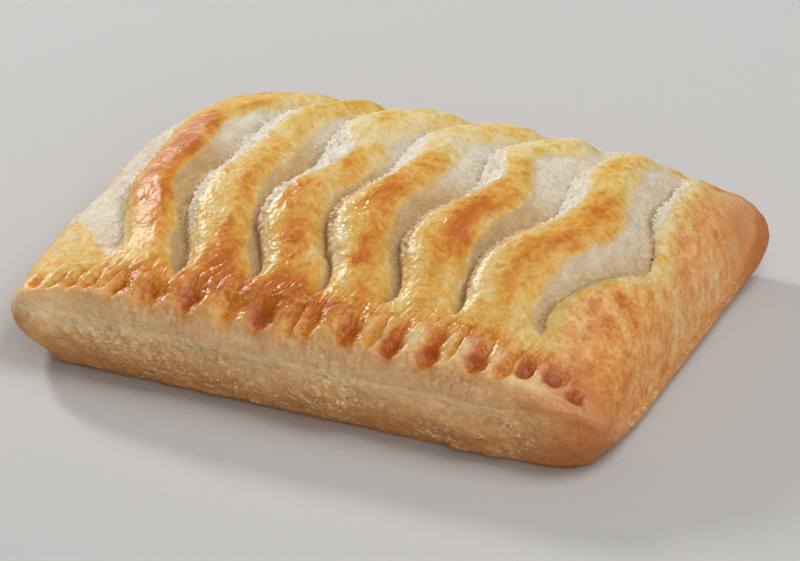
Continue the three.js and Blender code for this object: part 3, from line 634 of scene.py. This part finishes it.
def wall_uv(allv, info):
    """per-corner coordinates of the wall and base quads"""
    loop, side = info["loop"], info["side_of"]
    n, rows = len(loop), info["wall_rows"]
    P = allv[loop]
    seg = np.linalg.norm(np.roll(P, -1, 0) - P, axis=1)
    uv = np.zeros((rows, n, 4, 2))
    origin = {0: (0, 122.5), 2: (0, 146.0), 1: (147.0, 0.5), 3: (169.5, 0.5)}
    length = {0: 145.0, 2: 145.0, 1: 104.0, 3: 104.0}
    for k in range(4):
        idx = np.where(side == k)[0]
        s0 = np.concatenate([[0], np.cumsum(seg[idx])])
        s0 = s0 / s0[-1] * length[k]
        for r in range(rows):
            v0, v1 = 21.5 * (1 - r / rows), 21.5 * (1 - (r + 1) / rows)
            for c, (a, v) in enumerate(((s0[:-1], v0), (s0[:-1], v1), (s0[1:], v1), (s0[1:], v0))):
                if k in (0, 2):
                    uv[r, idx, c, 0], uv[r, idx, c, 1] = origin[k][0] + a, origin[k][1] + v
                else:
                    uv[r, idx, c, 0], uv[r, idx, c, 1] = origin[k][0] + v, origin[k][1] + a
    return uv.reshape(-1, 4, 2)


def make_mesh(name):
    v, quads, tris, attr, uvv, info = build_arrays()
    lo, hi = v.min(0), v.max(0)
    centre = (lo + hi) / 2
    centre[2] = lo[2]
    vm = (v - centre) / 1000.0
    me = bpy.data.meshes.new(name)
    nq, nt = len(quads), len(tris)
    me.vertices.add(len(vm))
    me.vertices.foreach_set("co", vm.astype(np.float32).ravel())
    me.loops.add(nq * 4 + nt * 3)
    me.loops.foreach_set("vertex_index", np.concatenate([quads.ravel(), tris.ravel()]).astype(np.int32))
    me.polygons.add(nq + nt)
    starts = np.concatenate([np.arange(nq) * 4, nq * 4 + np.arange(nt) * 3]).astype(np.int32)
    totals = np.concatenate([np.full(nq, 4), np.full(nt, 3)]).astype(np.int32)
    me.polygons.foreach_set("loop_start", starts)
    me.polygons.foreach_set("loop_total", totals)
    me.polygons.foreach_set("use_smooth", np.ones(nq + nt, bool))
    me.update(calc_edges=True)
    for k, a in attr.items():
        at = me.attributes.new(k, "FLOAT", "POINT")
        at.data.foreach_set("value", a.astype(np.float32))
    # uv
    lidq = (info["n0"] - 1) * (info["n1"] - 1)
    uv = np.zeros((nq * 4 + nt * 3, 2))
    uv[:lidq * 4] = uvv[quads[:lidq]].reshape(-1, 2)
    wu = wall_uv(v, info)
    nw = len(wu)
    uv[lidq * 4:(lidq + nw) * 4] = wu.reshape(-1, 2)
    rest = quads[lidq + nw:].ravel()
    allrest = np.concatenate([rest, tris.ravel()])
    pt = v[allrest]
    uv[(lidq + nw) * 4:, 0] = 148.0 + (pt[:, 1] + 52) * 0.40
    uv[(lidq + nw) * 4:, 1] = 108.0 + (pt[:, 0] + 74) * 0.40
    layer = me.uv_layers.new(name="OFBake")
    layer.data.foreach_set("uv", (uv / 191.5).astype(np.float32).ravel())
    me.validate()
    ob = bpy.data.objects.new(name, me)
    bpy.context.scene.collection.objects.link(ob)
    return ob, centre


bake, centre = make_mesh("bake_pastry")

# ------------------------------------------------------------------ material
def lin(r, g, b):
    f = lambda c: c / 12.92 if c <= 0.04045 else ((c + 0.055) / 1.055) ** 2.4
    return (f(r / 255), f(g / 255), f(b / 255), 1.0)


class Nodes:
    def __init__(self, mat):
        mat.use_nodes = True
        self.t = mat.node_tree
        self.t.nodes.clear()

    def new(self, kind, **kw):
        n = self.t.nodes.new(kind)
        for k, v in kw.items():
            setattr(n, k, v)
        return n

    def link(self, a, b):
        self.t.links.new(a, b)

    def _in(self, sock, v):
        if hasattr(v, "is_linked") or isinstance(v, bpy.types.NodeSocket):
            self.link(v, sock)
        else:
            sock.default_value = v

    def attr(self, name):
        return self.new("ShaderNodeAttribute", attribute_name=name, attribute_type="GEOMETRY").outputs["Fac"]

    def math(self, op, a, b=0.0, clamp=False):
        n = self.new("ShaderNodeMath", operation=op, use_clamp=clamp)
        self._in(n.inputs[0], a)
        self._in(n.inputs[1], b)
        return n.outputs[0]

    def add(self, a, b): return self.math("ADD", a, b)
    def sub(self, a, b): return self.math("SUBTRACT", a, b)
    def mul(self, a, b): return self.math("MULTIPLY", a, b)

    def map(self, v, a, b, c=0.0, d=1.0, smooth=True):
        n = self.new("ShaderNodeMapRange", interpolation_type="SMOOTHSTEP" if smooth else "LINEAR", clamp=True)
        self._in(n.inputs["Value"], v)
        for s, q in (("From Min", a), ("From Max", b), ("To Min", c), ("To Max", d)):
            n.inputs[s].default_value = q
        return n.outputs["Result"]

    def noise(self, coord, scale, detail=3.0, rough=0.55, dist=0.0, stretch=None, rot=None):
        if stretch or rot:
            mp = self.new("ShaderNodeMapping")
            if stretch:
                mp.inputs["Scale"].default_value = stretch
            if rot:
                mp.inputs["Rotation"].default_value = rot
            self.link(coord, mp.inputs["Vector"])
            coord = mp.outputs["Vector"]
        n = self.new("ShaderNodeTexNoise")
        self.link(coord, n.inputs["Vector"])
        n.inputs["Scale"].default_value = scale
        n.inputs["Detail"].default_value = detail
        n.inputs["Roughness"].default_value = rough
        n.inputs["Distortion"].default_value = dist
        return n.outputs["Fac"]

    def voronoi(self, coord, scale, feature="F1", smooth=None):
        n = self.new("ShaderNodeTexVoronoi", feature=feature)
        self.link(coord, n.inputs["Vector"])
        n.inputs["Scale"].default_value = scale
        return n.outputs["Distance"]

    def ramp(self, fac, stops):
        n = self.new("ShaderNodeValToRGB")
        r = n.color_ramp
        while len(r.elements) > 1:
            r.elements.remove(r.elements[-1])
        r.elements[0].position, r.elements[0].color = stops[0][0], stops[0][1]
        for p, c in stops[1:]:
            e = r.elements.new(p)
            e.color = c
        self.link(fac, n.inputs["Fac"])
        return n.outputs["Color"]

    def mix(self, fac, a, b, blend="MIX"):
        n = self.new("ShaderNodeMix", data_type="RGBA", blend_type=blend)
        self._in(n.inputs[0], fac)
        self._in(n.inputs[6], a)
        self._in(n.inputs[7], b)
        return n.outputs[2]


def pastry_material():
    mat = bpy.data.materials.new("baked_pastry")
    N = Nodes(mat)
    out = N.new("ShaderNodeOutputMaterial")
    bsdf = N.new("ShaderNodeBsdfPrincipled")
    N.link(bsdf.outputs[0], out.inputs["Surface"])
    co = N.new("ShaderNodeTexCoord").outputs["Object"]
    at = {k: N.attr(k) for k in ("pale", "floor", "step", "crease_shade", "dent", "rib", "crimp", "depth", "right", "wall", "seam", "flake", "crack", "base", "browned", "yellow", "smooth_end", "skin", "bead", "slope", "white_band", "tone", "low", "frost", "torn_edge_shade", "matte")}

    # large, middle and small patches of browning
    big = N.noise(co, 75, 3, 0.5, 0.3)
    mid = N.noise(co, 260, 4, 0.62, 0.5)
    fine = N.noise(co, 1050, 4, 0.7)
    heat = N.add(at["browned"], N.mul(N.sub(big, 0.5), 0.34))
    heat = N.add(heat, N.mul(N.sub(mid, 0.5), 0.52))
    heat = N.add(heat, N.mul(N.sub(fine, 0.5), 0.34))
    patch = N.noise(co, 330, 3, 0.6, 0.9)
    heat = N.add(heat, N.mul(N.sub(N.map(patch, 0.43, 0.57), 0.5), 0.14))
    heat = N.add(heat, N.mul(at["right"], N.add(N.mul(N.sub(fine, 0.5), 0.30), N.mul(N.sub(mid, 0.5), 0.30))))
    heat = N.math("MINIMUM", heat, N.add(N.add(0.76, N.mul(heat, 0.08)), N.mul(at["dent"], 0.20)))
    crust = N.ramp(heat, [
        (0.00, lin(242, 226, 184)), (0.15, lin(238, 210, 146)), (0.30, lin(234, 194, 108)), (0.45, lin(230, 172, 72)),
        (0.58, lin(225, 150, 50)), (0.70, lin(215, 131, 36)), (0.82, lin(204, 112, 18)), (0.92, lin(188, 94, 8)), (1.00, lin(170, 78, 4))])
    yellow = N.ramp(heat, [
        (0.00, lin(242, 230, 196)), (0.16, lin(240, 222, 170)), (0.32, lin(238, 206, 122)), (0.48, lin(233, 188, 84)),
        (0.64, lin(224, 160, 60)), (0.82, lin(203, 118, 30)), (1.00, lin(164, 80, 12))])
    crust = N.mix(N.mul(at["yellow"], 0.8), crust, yellow)
    # smoother right end: pinker, less yellow
    pink = N.ramp(heat, [(0.0, lin(250, 218, 174)), (0.20, lin(248, 204, 148)), (0.36, lin(244, 186, 122)), (0.50, lin(236, 166, 94)), (0.72, lin(222, 140, 64)), (1.0, lin(184, 96, 38))])
    crust = N.mix(N.mul(at["right"], N.map(big, 0.36, 0.56, 0.62, 0.92)), crust, pink)
    # stretched dough
    pn = N.noise(co, 420, 4, 0.6, 0.5, stretch=(1.0, 0.45, 1.0))
    dough = N.ramp(pn, [(0.28, lin(220, 205, 178)), (0.5, lin(238, 229, 210)), (0.72, lin(249, 244, 232))])
    # tan torn dough of the front half: partly its own colour, partly painted shade
    tan_and_shade = N.ramp(pn, [(0.28, lin(192, 152, 98)), (0.5, lin(208, 172, 118)), (0.72, lin(226, 196, 148))])
    dough = N.mix(N.mul(at["frost"], 1.0), tan_and_shade, dough)
    fib = N.noise(co, 520, 5, 0.7, 1.0)
    # slash floors: the tan of the front half is partly their own colour, partly painted shade
    floorc = N.ramp(fib, [(0.30, lin(184, 146, 94)), (0.50, lin(206, 170, 116)), (0.68, lin(228, 198, 150))])
    floorw = N.ramp(fib, [(0.30, lin(206, 186, 154)), (0.50, lin(232, 219, 195)), (0.68, lin(246, 238, 222))])
    floorc = N.mix(at["frost"], floorc, floorw)
    speck = N.noise(co, 1100, 4, 0.75, 0.6)
    floorc = N.mix(N.map(speck, 0.47, 0.30, 0.0, 0.55), floorc, lin(166, 128, 82))
    floorc = N.mix(N.map(speck, 0.55, 0.70, 0.0, 0.5), floorc, lin(244, 232, 206))
    dough = N.mix(N.mul(at["floor"], 0.85), dough, floorc)
    pmask = N.map(N.add(at["pale"], N.mul(N.sub(mid, 0.5), 0.24)), 0.12, 0.90)
    top = N.mix(pmask, crust, dough)
    lipc = N.ramp(N.add(N.add(mid, N.mul(N.sub(big, 0.5), 0.6)), N.mul(N.sub(fine, 0.5), 0.5)), [(0.28, lin(226, 158, 84)), (0.52, lin(240, 188, 120)), (0.74, lin(246, 210, 158))])
    lipc = N.mix(at["low"], lipc, lin(224, 146, 70))
    top = N.mix(N.mul(at["tone"], 0.88), top, lipc)
    top = N.mix(N.mul(at["white_band"], N.map(fine, 0.34, 0.60, 0.35, 0.90)), top, lin(247, 218, 170))
    # cream on the crimp ribs: partly the paler dough of the raised ribs, partly a painted highlight
    top = N.mix(N.mul(N.mul(at["rib"], at["crimp"]), N.map(fine, 0.35, 0.60, 0.15, 0.75)), top, lin(244, 220, 170))
    top = N.mix(N.mul(at["bead"], 0.5), top, lin(246, 230, 196))
    # painted shade along the slash crevices
    top = N.mix(N.mul(at["crease_shade"], 0.60), top, lin(166, 124, 76))
    # wall
    wn = N.noise(co, 300, 5, 0.65, 0.6, stretch=(0.9, 0.9, 1.25))
    wallc = N.ramp(N.add(N.add(N.mul(wn, 0.55), N.mul(at["flake"], 0.55)), N.mul(N.sub(big, 0.5), 0.5)), [
        (0.15, lin(222, 165, 97)), (0.34, lin(231, 178, 111)), (0.52, lin(238, 191, 128)), (0.75, lin(246, 209, 156))])
    wallc = N.mix(N.map(big, 0.52, 0.30, 0.0, 0.30), wallc, lin(214, 150, 84))
    wallc = N.mix(N.mul(at["low"], 0.95), wallc, (0.77, 0.58, 0.44, 1.0), "MULTIPLY")
    fleck = N.noise(co, 900, 4, 0.7, 0.4, stretch=(0.8, 0.8, 1.3))
    wallc = N.mix(N.map(fleck, 0.56, 0.74, 0.0, 0.28), wallc, lin(250, 226, 182))
    wallc = N.mix(N.map(fleck, 0.42, 0.26, 0.0, 0.36), wallc, lin(190, 134, 74))
    wheat = N.map(N.add(at["browned"], N.mul(N.sub(mid, 0.5), 0.55)), 0.30, 0.80)
    wallc = N.mix(N.mul(wheat, 0.85), wallc, lin(200, 128, 58))
    wallc = N.mix(N.mul(at["white_band"], N.map(fleck, 0.38, 0.56, 0.25, 0.85)), wallc, lin(247, 222, 182))
    # torn sheet edges: pale along each ledge, painted shadow just below it
    wallc = N.mix(N.map(at["torn_edge_shade"], 0.1, 0.8, 0.0, 0.60), wallc, lin(251, 236, 206))
    wallc = N.mix(N.map(at["torn_edge_shade"], -0.1, -0.8, 0.0, 0.58), wallc, lin(184, 128, 72))
    wallc = N.mix(N.mul(at["seam"], 0.4), wallc, lin(196, 150, 92))
    # painted shade in the cracks of the side
    wallc = N.mix(N.mul(at["crack"], 0.6), wallc, lin(176, 118, 60))
    wallc = N.mix(N.mul(at["smooth_end"], 0.80), wallc, N.mix(N.mul(at["low"], 0.5), N.ramp(mid, [(0.3, lin(196, 113, 50)), (0.7, lin(213, 137, 71))]), lin(178, 94, 34)))
    basec = N.ramp(N.noise(co, 120, 5, 0.6, 0.4), [(0.3, lin(178, 120, 60)), (0.55, lin(208, 158, 94)), (0.75, lin(226, 186, 128))])
    wallc = N.mix(at["base"], wallc, basec)
    top = N.mix(N.mul(at["smooth_end"], 0.75), top, N.ramp(mid, [(0.3, lin(201, 117, 55)), (0.7, lin(218, 143, 80))]))
    color = N.mix(at["wall"], top, wallc)
    N.link(color, bsdf.inputs["Base Color"])

    # gloss of the egg wash
    g = N.add(0.50, N.mul(at["skin"], -0.40))
    g = N.math("MINIMUM", g, N.add(0.50, N.mul(at["dent"], -0.02)))
    g = N.math("MAXIMUM", g, N.mul(at["matte"], 0.72))
    g = N.math("MAXIMUM", g, N.mul(at["right"], 0.44))
    r1 = N.math("MAXIMUM", g, N.mul(pmask, N.add(0.62, N.mul(at["bead"], -0.2))))
    r2 = N.math("MAXIMUM", r1, N.mul(at["wall"], 0.60))
    N.link(r2, bsdf.inputs["Roughness"])

    # fine relief
    b1 = N.noise(co, 760, 1, 0.5, 0.3)
    b4 = N.noise(co, 1500, 0, 0.5)
    cell = N.voronoi(co, 820)
    b2 = N.sub(1.0, N.mul(cell, cell))
    b3 = N.noise(co, 480, 5, 0.68, 0.8, stretch=(0.7, 0.7, 1.3))
    lidh = N.add(N.add(N.mul(b1, 1.0), N.mul(b2, 0.42)), N.mul(b4, 0.22))
    lidh = N.mul(N.sub(lidh, 0.92), N.math("MAXIMUM", N.add(0.12, N.mul(at["skin"], 0.88)), N.mul(at["matte"], 0.75)))
    h = N.add(N.mul(lidh, 0.00050), N.mul(N.mul(N.sub(b3, 0.5), at["wall"]), 0.0010))
    bump = N.new("ShaderNodeBump")
    bump.inputs["Strength"].default_value = 0.9
    bump.inputs["Distance"].default_value = 1.0
    N.link(h, bump.inputs["Height"])
    N.link(bump.outputs["Normal"], bsdf.inputs["Normal"])

    bsdf.inputs["IOR"].default_value = 1.44
    bsdf.inputs["Subsurface Weight"].default_value = 0.16
    bsdf.inputs["Subsurface Radius"].default_value = (1.0, 0.45, 0.2)
    bsdf.inputs["Subsurface Scale"].default_value = 0.0020
    return mat


bake.data.materials.append(pastry_material())
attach(bake, "root")
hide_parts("bake")

# ------------------------------------------------------------------ floor
def flat_material(name, color, rough):
    mat = bpy.data.materials.new(name)
    N = Nodes(mat)
    out = N.new("ShaderNodeOutputMaterial")
    b = N.new("ShaderNodeBsdfPrincipled")
    b.inputs["Base Color"].default_value = color
    b.inputs["Roughness"].default_value = rough
    N.link(b.outputs[0], out.inputs["Surface"])
    return mat


fm = bpy.data.meshes.new("floor")
fm.from_pydata([(-6, -6, 0), (6, -6, 0), (6, 6, 0), (-6, 6, 0)], [], [(0, 1, 2, 3)])
floor = bpy.data.objects.new("floor", fm)
bpy.context.scene.collection.objects.link(floor)
floor.location.z = -0.0002
fm.materials.append(flat_material("floor_pale", (0.62, 0.61, 0.60, 1), 0.8))

# ------------------------------------------------------------------ camera
AZ, EL, PX_PER_MM = math.radians(23.08), math.radians(30.71), 4.3234
U0, V0 = 384.7, 313.4                    # where the model's own origin shows in the picture
DIST = 4.0
back = Vector((math.sin(AZ) * math.cos(EL), -math.cos(AZ) * math.cos(EL), math.sin(EL)))
right = Vector((math.cos(AZ), math.sin(AZ), 0))
up = back.cross(right)
origin = Vector((-centre[0], -centre[1], -centre[2])) / 1000
target = origin + right * ((400 - U0) / PX_PER_MM / 1000) + up * ((V0 - 280.5) / PX_PER_MM / 1000)
cam = bpy.data.cameras.new("camera")
cam.sensor_width = 36
cam.lens = PX_PER_MM * 1000 * DIST * 36 / 800
cam.clip_start, cam.clip_end = 0.5, 40
camo = bpy.data.objects.new("camera", cam)
bpy.context.scene.collection.objects.link(camo)
camo.matrix_world = Matrix((
    (right.x, up.x, back.x, 0), (right.y, up.y, back.y, 0), (right.z, up.z, back.z, 0), (0, 0, 0, 1)))
camo.location = target + back * DIST
bpy.context.scene.camera = camo

# ------------------------------------------------------------------ light
def area(name, pos, size, power, color=(1, 1, 1), aim=(0, 0, 0.015), size_y=None):
    l = bpy.data.lights.new(name, "AREA")
    l.shape = "RECTANGLE"
    l.size, l.size_y = size, size_y or size
    l.energy = power
    l.color = color
    o = bpy.data.objects.new(name, l)
    bpy.context.scene.collection.objects.link(o)
    o.location = pos
    o.rotation_euler = (Vector(aim) - Vector(pos)).to_track_quat("-Z", "Y").to_euler()
    return o


area("key", (-0.76, 0.50, 0.44), 0.12, 5.5, (1.0, 0.99, 0.98))
area("fill", (0.55, -0.80, 0.46), 0.9, 3.1, (1.0, 0.99, 0.98))
area("top", (0.40, 0.12, 0.88), 0.7, 4.1, (1.0, 1.0, 1.0))
world = bpy.data.worlds.new("world")
bpy.context.scene.world = world
world.use_nodes = True
world.node_tree.nodes["Background"].inputs[0].default_value = (1.0, 0.985, 0.97, 1)
world.node_tree.nodes["Background"].inputs[1].default_value = 0.24
bpy.context.scene.view_settings.view_transform = "Standard"
